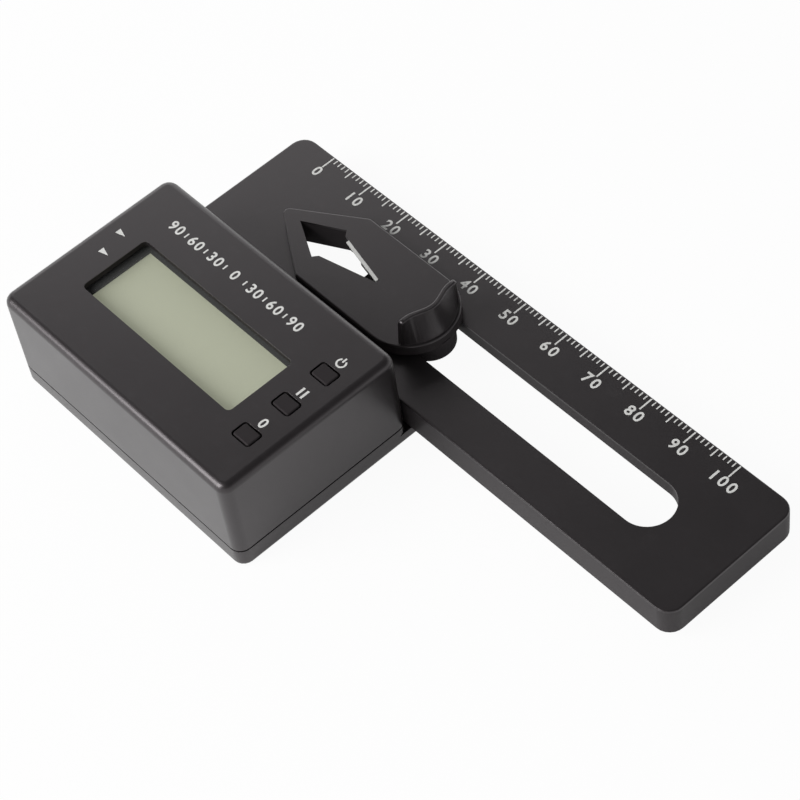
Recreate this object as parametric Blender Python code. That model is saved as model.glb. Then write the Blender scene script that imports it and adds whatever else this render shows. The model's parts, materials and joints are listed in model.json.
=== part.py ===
"""Digital pitch gauge: a boxed display with three keys beside a slotted measuring arm, on which an
arrow slider with a thumb lip carries the moving jaw.

Everything is placed in the gauge's own measuring frame: x is the reading on the arm's scale, y is 0
at the arm's scale edge and falls towards the box, and z is 0 on the arm's top face. One empty,
gauge_root, shifts that frame so that the object's box stands centred on the origin, on z = 0.
"""

import math

import bmesh
import bpy
from mathutils import Matrix, Vector

MM = 0.001

# Fits and tools
SEAT = 0.3 * MM  # gap between pieces that rest on each other or run in each other
OVERRUN = 1.0 * MM  # how far a cutting tool runs past the face that it cuts
SINK = 0.4 * MM  # how deep a boss or wall is rooted in the piece that carries it
ARC_STEPS = 4  # segments in a small rounded corner
ROUND_STEPS = 24  # segments in a half turn of a large radius
SPIN_STEPS = 20  # segments round a boss or a hole
SCREW_STEPS = 14  # segments round a screw

# Measuring arm
ARM_LENGTH = 120.7 * MM
ARM_WIDTH = 29.15 * MM
ARM_HEIGHT = 5.9 * MM
ARM_CORNER = 3.0 * MM
ARM_EDGE = 0.4 * MM  # rounding of the top edge
ARM_WEB = 2.9 * MM  # thickness of the top, which the slot goes through
ARM_SKIRT = 1.5 * MM
SCALE_ZERO = 8.65 * MM  # from the arm's left end to the scale's zero
RAIL_GAP_SHARE = 0.5215  # between the two rails of the moving jaw, of the arm's width
RAIL_GAP = ARM_WIDTH * RAIL_GAP_SHARE
RAIL_WALL = 1.2 * MM
RIB_WALL = 1.2 * MM
RIB_COUNT = 5
POCKET_CORNER = 0.8 * MM

# Slot of the arm
SLOT_MIDDLE_SHARE = 0.5352  # from the scale edge to the slot's centre line, of the arm's width
SLOT_MIDDLE = ARM_WIDTH * SLOT_MIDDLE_SHARE
SLOT_WIDTH_SHARE = 0.3396
SLOT_WIDTH = ARM_WIDTH * SLOT_WIDTH_SHARE
SLOT_LEFT = 4.9 * MM  # reading at the pointed end, under the slider
SLOT_END = 13.15 * MM  # from the slot's round end to the arm's right end

# Slider
PLATE_TOP = 2.5 * MM
PLATE_WIDTH_SHARE = 0.6038  # of the arm's width
PLATE_WIDTH = ARM_WIDTH * PLATE_WIDTH_SHARE
PLATE_EDGE = 0.35 * MM
TIP_X = 3.7 * MM  # reading at the pointed end
SHOULDER_X = 17.5 * MM
TIP_RADIUS = 1.0 * MM
SHOULDER_RADIUS = 1.2 * MM
NOSE_X = 37.6 * MM  # centre of the round end
NECK_LEFT = 7.0 * MM
NECK_RIGHT = 46.5 * MM
NECK_SIDE_GAP = 0.25 * MM
NECK_TIP_RADIUS = 0.5 * MM

# Arrow window in the slider
ARROW_TIP_X = 8.7 * MM
ARROW_BARB_X = 16.5 * MM
ARROW_NOTCH_X = 17.3 * MM
ARROW_TAIL_X = 29.2 * MM
ARROW_BARB_SHARE = 0.233  # half width at the barbs, of the plate's width
ARROW_BARB = PLATE_WIDTH * ARROW_BARB_SHARE
ARROW_NOTCH_SHARE = 0.176  # half width where the tail starts
ARROW_NOTCH = PLATE_WIDTH * ARROW_NOTCH_SHARE
ARROW_TAIL = 0.35 * MM  # half width at the tail's end
ARROW_WALL = 1.8 * MM  # height of the window's own edge; below it the neck is open wider
NECK_OPEN_SHARE = 0.27  # how far the barbs' width goes on in the neck, of the tail's length
NECK_OPEN_MARGIN = 0.75 * MM  # beyond the arrow's tail, on each side and at its end

# Thumb lip on the slider's round end
LIP_BACK_SHARE = 0.535  # from the round end's centre to the back of the rim's ends, of its radius
LIP_WIDTH_SHARE = 0.72  # of the rim, of the plate's width
LIP_FOOT_SHARE = 0.77
LIP_TOP = 8.4 * MM
LIP_BULGE = 1.35 * MM  # how far the rim's middle stands in front of its ends
LIP_BULGE_SHARE = 0.8  # width of the bulge, of the rim's width
LIP_THICK = 1.05 * MM  # of the rim
LIP_EDGE = 0.3 * MM  # rounding of the rim
LIP_CORNER = 0.5 * MM  # rounding of the rim's ends
LIP_DRAFT = 0.35 * MM  # how far the back leans
LIP_LEDGE = 0.4 * MM  # from the lip's foot to the outline of the round end
LIP_STEPS = 22
LIP_END_SHARES = (0.94, 0.985, 1.0)  # where the last sections stand, of half the width

# Jaws
JAW_WIDTH_SHARE = 0.6973  # of the space between the rails
JAW_WIDTH = RAIL_GAP * JAW_WIDTH_SHARE
FIXED_JAW_ROOT = 0.9 * MM  # how far the fixed jaw is rooted in the arm's end wall
JAW_GROOVE_DEPTH = 1.3 * MM
JAW_GROOVE_HEIGHT = 2.3 * MM
JAW_LIP = 0.5 * MM  # flat left below the groove
JAW_LIFT = 0.3 * MM  # the moving jaw stays clear of the table
MOVING_FACE_X = 28.4 * MM
MOVING_JAW_LENGTH = 9.8 * MM
JAW_CORNER = 0.8 * MM
RETAINER_LEFT = 22.6 * MM
RETAINER_LENGTH = 17.4 * MM
RETAINER_HEIGHT = 2.0 * MM
JAW_SCREW_FIRST_X = 32.0 * MM
JAW_SCREW_PITCH = 4.1 * MM

# Leaf springs that hold the slider where it is pushed
LEAF_LENGTH = 14.0 * MM
LEAF_WIDTH_SHARE = 0.0855  # of the space between the rails
LEAF_WIDTH = RAIL_GAP * LEAF_WIDTH_SHARE
LEAF_THICK = 0.25 * MM
LEAF_BOW = 0.45 * MM
LEAF_OFFSET_SHARE = 0.398  # from the slot's centre line
LEAF_OFFSET = RAIL_GAP * LEAF_OFFSET_SHARE
LEAF_POCKET = 1.2 * MM
LEAF_POINTS = 9

# Box: top shell and rear cover
BOX_LENGTH = 59.6 * MM
BOX_WIDTH = 37.4 * MM
BOX_SETBACK = 0.4 * MM  # from the arm's left end
BOX_ARM_GAP = 0.3 * MM
BOX_TOP = 13.2 * MM  # above the arm's top
BOX_BELOW = 2.7 * MM  # from the arm's underside down to the rest plane
BOX_CORNER = 2.2 * MM
BOX_EDGE = 1.5 * MM
BOX_EDGE_STEPS = 4
SHELL_WALL = 1.8 * MM
PARTING = 4.1 * MM  # from the rest plane to the parting line
PARTING_GAP = 0.3 * MM
COVER_PLATE = 2.0 * MM
COVER_WALL = 1.6 * MM
COVER_EDGE = 0.9 * MM
TONGUE_WALL = 1.0 * MM
TONGUE_HEIGHT = 1.1 * MM
CORNER_BOSS_INSET_SHARE = 0.118  # of the box's width
CORNER_BOSS_INSET = BOX_WIDTH * CORNER_BOSS_INSET_SHARE
CORNER_BOSS_RADIUS_SHARE = 0.08
CORNER_BOSS_RADIUS = BOX_WIDTH * CORNER_BOSS_RADIUS_SHARE  # in the top shell, where it meets the walls
COVER_BOSS_RADIUS = CORNER_BOSS_INSET - SHELL_WALL - SEAT

# Flange of the rear cover, which carries the arm
FLANGE_LEFT_SHARE = 0.1555  # from the box's left side, of its length
FLANGE_LENGTH_SHARE = 0.773
FLANGE_LENGTH = BOX_LENGTH * FLANGE_LENGTH_SHARE
FLANGE_REACH_SHARE = 0.2693  # past the box's wall and under the arm, of the arm's width
FLANGE_REACH = ARM_WIDTH * FLANGE_REACH_SHARE
FLANGE_HEIGHT = 2.4 * MM
FLANGE_CORNER = 1.5 * MM
ARM_BOSS_INSET_SHARE = 0.1218  # from the arm's near edge, of its width
ARM_BOSS_INSET = ARM_WIDTH * ARM_BOSS_INSET_SHARE
ARM_BOSS_RADIUS = 2.1 * MM
ARM_SCREW_FIRST_SHARE = 0.0865  # from the flange's left end, of its length
ARM_SCREW_PITCH_SHARE = 0.413
ARM_SCREW_PITCH = FLANGE_LENGTH * ARM_SCREW_PITCH_SHARE
ARM_SCREW_COUNT = 3

# Display
VIEW_LEFT_SHARE = 0.1471  # from the box's left side to the opening, of the box's length
VIEW_LENGTH_SHARE = 0.654
VIEW_LENGTH = BOX_LENGTH * VIEW_LENGTH_SHARE
VIEW_WIDTH_SHARE = 0.3725  # of the box's width
VIEW_WIDTH = BOX_WIDTH * VIEW_WIDTH_SHARE
VIEW_INSET_SHARE = 0.2965  # from the box's near face to the opening
VIEW_INSET = BOX_WIDTH * VIEW_INSET_SHARE
VIEW_CORNER = 0.9 * MM
WINDOW_LAP = 1.5 * MM
WINDOW_DEPTH = 1.1 * MM  # from the box's top to the window's seat
WINDOW_THICK = 0.8 * MM
LCD_GAP = 0.5 * MM  # spacer tape between window and display
LCD_LAP_SHARE = 0.0385  # of the box's width
LCD_LAP = BOX_WIDTH * LCD_LAP_SHARE
LCD_THICK = 2.0 * MM
HOLDER_WALL_SHARE = 0.0247  # of the box's width
HOLDER_WALL = BOX_WIDTH * HOLDER_WALL_SHARE
HOLDER_LEDGE = 1.2 * MM
HOLDER_ABOVE = 1.2 * MM  # how far the holder reaches up the display's edge
ZEBRA_WIDTH = 1.6 * MM

# Circuit board
BOARD_TOP = 3.85 * MM
BOARD_THICK = 1.0 * MM
BOARD_GAP = 0.5 * MM  # to the shell's inner walls
BOARD_CORNER = 0.8 * MM
BOARD_SCREW_INSET_SHARE = 0.088  # from the board's long edges, of the box's width
BOARD_SCREW_INSET = BOX_WIDTH * BOARD_SCREW_INSET_SHARE
BOARD_SCREW_NEAR_SHARE = 0.65  # from the box's left side, of its length
BOARD_SCREW_FAR_SHARE = 0.38
BOARD_BOSS_RADIUS_SHARE = 0.0515  # of the box's width
BOARD_BOSS_RADIUS = BOX_WIDTH * BOARD_BOSS_RADIUS_SHARE
SENSOR_X_SHARE = 0.557  # from the box's left side, of its length
SENSOR_LENGTH = 5.0 * MM
SENSOR_WIDTH = 3.4 * MM
SENSOR_HEIGHT = 1.1 * MM
SENSOR_INSET = 3.2 * MM
CHIP_X_SHARE = 0.725  # from the box's left side, of its length
CHIP_RADIUS = 4.6 * MM
CHIP_HEIGHT = 1.6 * MM

# Keys and their switches
KEY_SETBACK = 5.72 * MM  # from the display opening to the keys' centre line
KEY_FIRST_SHARE = 0.2778  # from the box's far face to the first key, of the box's width
KEY_FIRST_INSET = BOX_WIDTH * KEY_FIRST_SHARE
KEY_PITCH_SHARE = 0.2247
KEY_PITCH = BOX_WIDTH * KEY_PITCH_SHARE
KEY_HOLE_LENGTH = 4.5 * MM
KEY_HOLE_WIDTH_SHARE = 0.0931  # of the box's width
KEY_HOLE_WIDTH = BOX_WIDTH * KEY_HOLE_WIDTH_SHARE
KEY_CORNER = 0.7 * MM
KEY_PROUD = 0.1 * MM  # above the box's top
KEY_EDGE = 0.25 * MM
KEY_FLANGE = 0.5 * MM  # how far the hidden flange stands out
KEY_FLANGE_HEIGHT = 0.8 * MM
KEY_TRAVEL = 0.4 * MM
SWITCH_SIZE_SHARE = 0.1205  # of the box's width
SWITCH_SIZE = BOX_WIDTH * SWITCH_SIZE_SHARE
SWITCH_HEIGHT = 3.4 * MM
PLUNGER_RADIUS = 1.1 * MM

# Button cell, its well, contacts and door
CELL_X_SHARE = 0.305  # from the box's left side, of its length
CELL_RADIUS = 10.0 * MM
CELL_HEIGHT = 3.2 * MM
CELL_RIM = 1.1 * MM
CELL_STEP = 0.35 * MM
WELL_GAP = 0.45 * MM
WELL_WALL = 1.2 * MM
WELL_HEIGHT = 4.4 * MM  # above the door's channel
CHANNEL_ROOF = 1.0 * MM
DOOR_WIDTH_SHARE = 0.5715  # of the box's width: the cell passes through the opening
DOOR_WIDTH = BOX_WIDTH * DOOR_WIDTH_SHARE
DOOR_PAST_CELL = 0.6 * MM
DOOR_THICK = 1.5 * MM
DOOR_LIFT = 0.1 * MM  # the door stays clear of the table
DOOR_TONGUE = 1.0 * MM
DOOR_TONGUE_HEIGHT = 0.7 * MM
GRIP_INSET = 2.25 * MM  # from the door's outer end
GRIP_COUNT = 4
GRIP_PITCH = 1.3 * MM
GRIP_WIDTH = 0.55 * MM
GRIP_DEPTH = 0.35 * MM
GRIP_LENGTH = 9.0 * MM
CONTACT_THICK = 0.3 * MM
CONTACT_WIDTH = 3.6 * MM
CONTACT_FOOT = 4.0 * MM
NOTCH_WIDTH = 4.6 * MM
SPRING_FOOT_BACK = 8.1 * MM  # from the cell's centre to the spring's fixed end
SPRING_FOOT = 3.4 * MM
SPRING_TIP_AHEAD = 2.5 * MM  # from the cell's centre to the spring's free end
SPRING_TIP = 1.6 * MM

# Screws: head radius, head height, shank radius and length from the seat
COVER_SCREW = (1.75 * MM, 1.1 * MM, 0.75 * MM, 9.0 * MM)
ARM_SCREW = (1.6 * MM, 0.9 * MM, 0.7 * MM, 4.6 * MM)
JAW_SCREW = (1.6 * MM, 0.9 * MM, 0.7 * MM, 7.3 * MM)
BOARD_SCREW = (1.5 * MM, 0.9 * MM, 0.6 * MM, 5.0 * MM)
HEAD_RECESS = 0.2 * MM  # heads lie this far inside their counterbores
DRIVE_WIDTH = 0.4 * MM
SCREW_CROWN_SHARE = 0.7  # flat of a head, as a share of its radius
DRIVE_SPAN_SHARE = 1.3  # length of a cross slot, as a share of the head radius
DRIVE_DEPTH_SHARE = 0.5  # depth of a cross slot, as a share of the head height

# Places that follow from the sizes
REST = -ARM_HEIGHT - BOX_BELOW
ARM_LEFT = -SCALE_ZERO
ARM_RIGHT = ARM_LEFT + ARM_LENGTH
SLOT_RIGHT = ARM_RIGHT - SLOT_END
BOX_LEFT = ARM_LEFT + BOX_SETBACK
BOX_RIGHT = BOX_LEFT + BOX_LENGTH
BOX_FAR = -ARM_WIDTH - BOX_ARM_GAP
BOX_NEAR = BOX_FAR - BOX_WIDTH
BOX_MIDDLE = (BOX_FAR + BOX_NEAR) / 2
SHELL_BOTTOM = REST + PARTING + PARTING_GAP / 2
COVER_TOP = REST + PARTING - PARTING_GAP / 2
CEILING = BOX_TOP - SHELL_WALL
SLOT_Y = -SLOT_MIDDLE
PLATE_BOTTOM = SEAT
NOSE_RADIUS = PLATE_WIDTH / 2
VIEW_LEFT = BOX_LEFT + BOX_LENGTH * VIEW_LEFT_SHARE
VIEW_NEAR = BOX_NEAR + VIEW_INSET
KEY_X = VIEW_LEFT + VIEW_LENGTH + KEY_SETBACK
SENSOR_X = BOX_LEFT + BOX_LENGTH * SENSOR_X_SHARE
CHIP_X = BOX_LEFT + BOX_LENGTH * CHIP_X_SHARE
CELL_X = BOX_LEFT + BOX_LENGTH * CELL_X_SHARE
DOOR_RIGHT = CELL_X + CELL_RADIUS + DOOR_PAST_CELL
FLANGE_LEFT = BOX_LEFT + BOX_LENGTH * FLANGE_LEFT_SHARE
WINDOW_TOP = BOX_TOP - WINDOW_DEPTH - SEAT
LCD_TOP = WINDOW_TOP - WINDOW_THICK - LCD_GAP
LCD_BOTTOM = LCD_TOP - LCD_THICK
BOARD_BOTTOM = BOARD_TOP - BOARD_THICK
BOARD_NEAR = BOX_NEAR + SHELL_WALL + BOARD_GAP
BOARD_FAR = BOX_FAR - SHELL_WALL - BOARD_GAP
KEY_TOP = BOX_TOP + KEY_PROUD
KEY_BOTTOM = CEILING - SEAT - KEY_FLANGE_HEIGHT
DOOR_BOTTOM = REST + DOOR_LIFT
DOOR_TOP = DOOR_BOTTOM + DOOR_THICK
CHANNEL_TOP = DOOR_TOP + SEAT
CELL_BOTTOM = CHANNEL_TOP
RETAINER_TOP = -ARM_WEB - SEAT
JAW_BOTTOM = REST + JAW_LIFT
RETAINER_BOTTOM = RETAINER_TOP - RETAINER_HEIGHT

# Finishes: colour, roughness and metallic value
FINISHES = {
    "black_plastic": ((0.045, 0.043, 0.044), 0.48, 0.0),
    "key_plastic": ((0.032, 0.031, 0.032), 0.55, 0.0),
    "clear_plastic": ((0.75, 0.78, 0.74), 0.08, 0.0),
    "display_glass": ((0.40, 0.42, 0.31), 0.25, 0.0),
    "holder_plastic": ((0.55, 0.55, 0.52), 0.5, 0.0),
    "contact_rubber": ((0.32, 0.30, 0.32), 0.7, 0.0),
    "board_green": ((0.02, 0.13, 0.05), 0.4, 0.0),
    "chip_resin": ((0.015, 0.015, 0.016), 0.35, 0.0),
    "spring_steel": ((0.62, 0.62, 0.60), 0.3, 1.0),
    "cell_steel": ((0.70, 0.70, 0.69), 0.22, 1.0),
    "screw_steel": ((0.42, 0.42, 0.43), 0.35, 1.0),
}


def clear_scene():
    for obj in list(bpy.data.objects):
        bpy.data.objects.remove(obj, do_unlink=True)


def finish_material(finish):
    """The finish's material, made once."""
    material = bpy.data.materials.get(finish)
    if material:
        return material
    colour, roughness, metallic = FINISHES[finish]
    material = bpy.data.materials.new(finish)
    material.use_nodes = True
    shader = material.node_tree.nodes["Principled BSDF"]
    shader.inputs["Base Color"].default_value = (*colour, 1.0)
    shader.inputs["Roughness"].default_value = roughness
    shader.inputs["Metallic"].default_value = metallic
    return material


def arc(centre, radius, start, turn, steps):
    """Points along an arc, from the start angle through the turn, both in degrees."""
    angles = [math.radians(start + turn * i / steps) for i in range(steps + 1)]
    return [(centre[0] + radius * math.cos(a), centre[1] + radius * math.sin(a)) for a in angles]


def rounded(corners, radii, steps=ARC_STEPS):
    """An outline with each corner rounded; radii is one radius or a list with one for each corner."""
    if isinstance(radii, float):
        radii = [radii] * len(corners)
    points = []
    for i, radius in enumerate(radii):
        corner = Vector(corners[i])
        if radius == 0:
            points.append(corner)
            continue
        back = (Vector(corners[i - 1]) - corner).normalized()
        ahead = (Vector(corners[(i + 1) % len(corners)]) - corner).normalized()
        half = back.angle(ahead) / 2
        centre = corner + (back + ahead).normalized() * radius / math.sin(half)
        first = corner + back * radius / math.tan(half) - centre
        last = corner + ahead * radius / math.tan(half) - centre
        turn = first.angle_signed(last)
        points += [centre + Matrix.Rotation(-turn * k / steps, 2) @ first for k in range(steps + 1)]
    return points


def rectangle(left, right, near, far, radius=0, steps=ARC_STEPS):
    corners = [(left, near), (right, near), (right, far), (left, far)]
    return rounded(corners, [radius] * 4, steps)


def prism(outline, low, high):
    """A closed mesh: the outline, counter-clockwise, drawn up from one level to the other."""
    mesh = bmesh.new()
    base = mesh.faces.new([mesh.verts.new((x, y, low)) for x, y in outline])
    grown = bmesh.ops.extrude_face_region(mesh, geom=[base])["geom"]
    top = [item for item in grown if isinstance(item, bmesh.types.BMVert)]
    bmesh.ops.translate(mesh, verts=top, vec=(0, 0, high - low))
    bmesh.ops.recalc_face_normals(mesh, faces=mesh.faces)
    return mesh


def block(left, right, near, far, low, high, radius=0):
    return prism(rectangle(left, right, near, far, radius), low, high)


def side_prism(profile, near, far):
    """A closed mesh: a profile of (x, z) points drawn along y."""
    mesh = prism(profile, near, far)
    bmesh.ops.rotate(mesh, verts=mesh.verts, matrix=Matrix.Rotation(math.pi / 2, 3, "X"))
    bmesh.ops.scale(mesh, verts=mesh.verts, vec=(1, -1, 1))
    bmesh.ops.reverse_faces(mesh, faces=mesh.faces)
    return mesh


def cylinder(x, y, radius, low, high, steps=SPIN_STEPS):
    return prism(arc((x, y), radius, 0, 360 - 360 / steps, steps - 1), low, high)


def turned(profile, steps=SPIN_STEPS):
    """A closed mesh: a profile of (radius, z) points, from axis to axis, spun round z."""
    mesh = bmesh.new()
    points = [mesh.verts.new((radius, 0, z)) for radius, z in profile]
    edges = [mesh.edges.new(pair) for pair in zip(points, points[1:])]
    bmesh.ops.spin(mesh, geom=points + edges, cent=(0, 0, 0), axis=(0, 0, 1), angle=2 * math.pi,
                   steps=steps, use_merge=True)
    bmesh.ops.remove_doubles(mesh, verts=mesh.verts, dist=SEAT / 100)
    bmesh.ops.recalc_face_normals(mesh, faces=mesh.faces)
    return mesh


def round_level(mesh, level, radius, steps):
    """Rounds the edges that lie at one level."""
    edges = [edge for edge in mesh.edges
             if all(abs(vert.co.z - level) < SEAT / 100 for vert in edge.verts)]
    bmesh.ops.bevel(mesh, geom=edges, offset=radius, segments=steps, profile=0.5, affect="EDGES",
                    material=-1)
    return mesh


def model(name, mesh):
    """A new object from a mesh, which it frees."""
    data = bpy.data.meshes.new(name)
    mesh.to_mesh(data)
    mesh.free()
    obj = bpy.data.objects.new(name, data)
    bpy.context.scene.collection.objects.link(obj)
    return obj


def combine(obj, tools, operation):
    """Adds the tools to the object or cuts them from it, and leaves a plain mesh."""
    helpers = []
    for tool in tools:
        helper = model(obj.name + "_tool", tool)
        helper.hide_render = True
        helper.display_type = "WIRE"
        boolean = obj.modifiers.new(operation, "BOOLEAN")
        boolean.operation = operation
        boolean.object = helper
        helpers.append(helper)
    bpy.context.view_layer.update()
    graph = bpy.context.evaluated_depsgraph_get()
    result = bpy.data.meshes.new_from_object(obj.evaluated_get(graph))
    obj.modifiers.clear()
    obj.data = result
    for helper in helpers:
        bpy.data.objects.remove(helper, do_unlink=True)


def join(obj, *tools):
    combine(obj, tools, "UNION")


def cut(obj, *tools):
    combine(obj, tools, "DIFFERENCE")


def finished(obj, finish, root, origin=(0, 0, 0)):
    """Gives the object its finish, its origin and its place under the root."""
    obj.data.transform(Matrix.Translation(-Vector(origin)))
    obj.location = origin
    obj.parent = root
    obj.data.materials.clear()
    obj.data.materials.append(finish_material(finish))
    obj.data.shade_smooth()
    obj.data.set_sharp_from_angle(angle=math.radians(30))
    return obj


def screw(name, place, size, root):
    """A pan-head screw with a cross drive, pointing up, its head's seat at the place."""
    head, height, shank, length = size
    taper = shank / 2
    profile = [(0, -height), (head * SCREW_CROWN_SHARE, -height), (head, -height / 2), (head, 0),
               (shank, 0), (shank, length - shank), (taper, length), (0, length)]
    obj = model(name, turned(profile, SCREW_STEPS))
    span = head * DRIVE_SPAN_SHARE / 2
    depth = height * DRIVE_DEPTH_SHARE
    wide = block(-span, span, -DRIVE_WIDTH / 2, DRIVE_WIDTH / 2, -height - OVERRUN, depth - height)
    tall = block(-DRIVE_WIDTH / 2, DRIVE_WIDTH / 2, -span, span, -height - OVERRUN, depth - height)
    cut(obj, wide, tall)
    obj.data.transform(Matrix.Translation(place))
    return finished(obj, "screw_steel", root, place)


def arm_screw_places():
    first, y = FLANGE_LEFT + FLANGE_LENGTH * ARM_SCREW_FIRST_SHARE, -ARM_WIDTH + ARM_BOSS_INSET
    return [(first + ARM_SCREW_PITCH * i, y) for i in range(ARM_SCREW_COUNT)]


def jaw_screw_places():
    return [(JAW_SCREW_FIRST_X + JAW_SCREW_PITCH * i, SLOT_Y) for i in range(2)]


def corner_boss_places():
    xs = (BOX_LEFT + CORNER_BOSS_INSET, BOX_RIGHT - CORNER_BOSS_INSET)
    ys = (BOX_NEAR + CORNER_BOSS_INSET, BOX_FAR - CORNER_BOSS_INSET)
    return [(x, y) for x in xs for y in ys]


def board_screw_places():
    return [(BOX_LEFT + BOX_LENGTH * BOARD_SCREW_NEAR_SHARE, BOARD_NEAR + BOARD_SCREW_INSET),
            (BOX_LEFT + BOX_LENGTH * BOARD_SCREW_FAR_SHARE, BOARD_FAR - BOARD_SCREW_INSET)]


def key_places():
    """The three keys, from the scale side to the near side."""
    first = BOX_FAR - KEY_FIRST_INSET
    return [(KEY_X, first - KEY_PITCH * i) for i in range(3)]


def pointed_outline(tip_x, right_x, half, slope, tip_radius, shoulder_radius):
    """The outline that slider, neck and slot share: a point at the left and a half round at the right."""
    centre = right_x - half
    shoulder = tip_x + half / slope
    point = rounded([(shoulder, SLOT_Y + half), (tip_x, SLOT_Y), (shoulder, SLOT_Y - half),
                     (centre, SLOT_Y - half), (centre, SLOT_Y + half)],
                    [shoulder_radius, tip_radius, shoulder_radius, 0, 0])
    return point[:-2] + arc((centre, SLOT_Y), half, -90, 180, ROUND_STEPS)


def point_slope():
    """Half width over length of the slider's pointed end."""
    return (PLATE_WIDTH / 2) / (SHOULDER_X - TIP_X)


def jaw_groove(face_x, side):
    """The cutting tool of a jaw's V groove; side is the way the jaw faces, +1 or -1."""
    low = JAW_BOTTOM + JAW_LIP
    high = low + JAW_GROOVE_HEIGHT
    mouth = face_x + side * OVERRUN
    profile = [(face_x - side * JAW_GROOVE_DEPTH, (low + high) / 2), (face_x, low), (mouth, low),
               (mouth, high), (face_x, high)]
    if side < 0:
        profile.reverse()
    half = JAW_WIDTH / 2 + SEAT
    return side_prism(profile, SLOT_Y - half, SLOT_Y + half)


def measuring_arm(root):
    """The slotted shell: a thin top inside a skirt, rails, ribs, screw bosses and the fixed jaw."""
    outline = rectangle(ARM_LEFT, ARM_RIGHT, -ARM_WIDTH, 0, ARM_CORNER, ARC_STEPS + 2)
    arm = model("measuring_arm", round_level(prism(outline, -ARM_HEIGHT, 0), 0, ARM_EDGE, 2))
    inner_left, inner_right = ARM_LEFT + ARM_SKIRT, ARM_RIGHT - ARM_SKIRT
    inner_near, inner_far = -ARM_WIDTH + ARM_SKIRT, -ARM_SKIRT
    low, high = -ARM_HEIGHT - OVERRUN, -ARM_WEB
    channel_near, channel_far = SLOT_Y - RAIL_GAP / 2, SLOT_Y + RAIL_GAP / 2
    pockets = [block(inner_left, inner_right, channel_near, channel_far, low, high, POCKET_CORNER)]
    bay = (inner_right - inner_left + RIB_WALL) / (RIB_COUNT + 1)
    for i in range(RIB_COUNT + 1):
        left = inner_left + bay * i
        for near, far in ((inner_near, channel_near - RAIL_WALL), (channel_far + RAIL_WALL, inner_far)):
            pockets.append(block(left, left + bay - RIB_WALL, near, far, low, high, POCKET_CORNER))
    cut(arm, *pockets)
    bosses = [cylinder(x, y, ARM_BOSS_RADIUS, -ARM_HEIGHT, high + SINK) for x, y in arm_screw_places()]
    jaw = block(inner_left - FIXED_JAW_ROOT, 0, SLOT_Y - JAW_WIDTH / 2, SLOT_Y + JAW_WIDTH / 2,
                REST, high + SINK)
    join(arm, jaw, *bosses)
    slot = pointed_outline(SLOT_LEFT, SLOT_RIGHT, SLOT_WIDTH / 2, point_slope(), NECK_TIP_RADIUS,
                           SHOULDER_RADIUS)
    shank = ARM_SCREW[2]
    pilots = [cylinder(x, y, shank + SEAT, low, -ARM_WEB / 2) for x, y in arm_screw_places()]
    cut(arm, prism(slot, low, OVERRUN), jaw_groove(0, 1), *pilots)
    return finished(arm, "black_plastic", root)


def arrow_outline():
    right = [(ARROW_TAIL_X, ARROW_TAIL), (ARROW_NOTCH_X, ARROW_NOTCH), (ARROW_BARB_X, ARROW_BARB)]
    points = [(x, SLOT_Y + half) for x, half in right] + [(ARROW_TIP_X, SLOT_Y)]
    return points + [(x, SLOT_Y - half) for x, half in reversed(right)]


def neck_opening():
    """The window's outline below its own edge: the barbs' width goes on, then steps in to the tail."""
    step = ARROW_NOTCH_X + (ARROW_TAIL_X - ARROW_NOTCH_X) * NECK_OPEN_SHARE
    tail = ARROW_NOTCH + (ARROW_TAIL - ARROW_NOTCH) * NECK_OPEN_SHARE + NECK_OPEN_MARGIN
    right = [(ARROW_TAIL_X + NECK_OPEN_MARGIN, ARROW_TAIL + NECK_OPEN_MARGIN), (step, tail),
             (step, ARROW_BARB), (ARROW_BARB_X, ARROW_BARB)]
    points = [(x, SLOT_Y + half) for x, half in right] + [(ARROW_TIP_X, SLOT_Y)]
    return points + [(x, SLOT_Y - half) for x, half in reversed(right)]


def lip_sections():
    """Where the lip's cross-sections stand, as shares of its half width."""
    last = LIP_END_SHARES[0]
    middle = [last * (2 * i / LIP_STEPS - 1) for i in range(1, LIP_STEPS)]
    return [-share for share in reversed(LIP_END_SHARES)] + middle + list(LIP_END_SHARES)


def lip_section(share):
    """One cross-section, as points from the foot's back over the rim to the foot's front."""
    rim, foot = PLATE_WIDTH / 2 * LIP_WIDTH_SHARE, PLATE_WIDTH / 2 * LIP_FOOT_SHARE
    bottom = PLATE_TOP - SINK
    past = max(abs(share) * rim - rim + LIP_CORNER, 0)
    top = LIP_TOP - LIP_CORNER + math.sqrt(LIP_CORNER ** 2 - past ** 2)
    bulge = math.cos(min(abs(share) / LIP_BULGE_SHARE, 1) * math.pi / 2)
    back = NOSE_X + NOSE_RADIUS * LIP_BACK_SHARE + LIP_BULGE * bulge ** 2
    ledge = NOSE_RADIUS - LIP_LEDGE
    front = min(back + LIP_THICK, NOSE_X + math.sqrt(ledge ** 2 - (share * rim) ** 2))
    foot_front = NOSE_X + math.sqrt(ledge ** 2 - (share * foot) ** 2)
    part = LIP_EDGE * (1 - math.sqrt(0.5))
    points = [(back - LIP_DRAFT, bottom), (back, top - LIP_EDGE), (back + part, top - part),
              (back + LIP_EDGE, top), (front - LIP_EDGE, top), (front - part, top - part),
              (front, top - LIP_EDGE), (foot_front, bottom)]
    widths = [foot + (rim - foot) * (z - bottom) / (LIP_TOP - bottom) for x, z in points]
    return [(x, SLOT_Y + share * width, z) for (x, z), width in zip(points, widths)]


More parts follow.
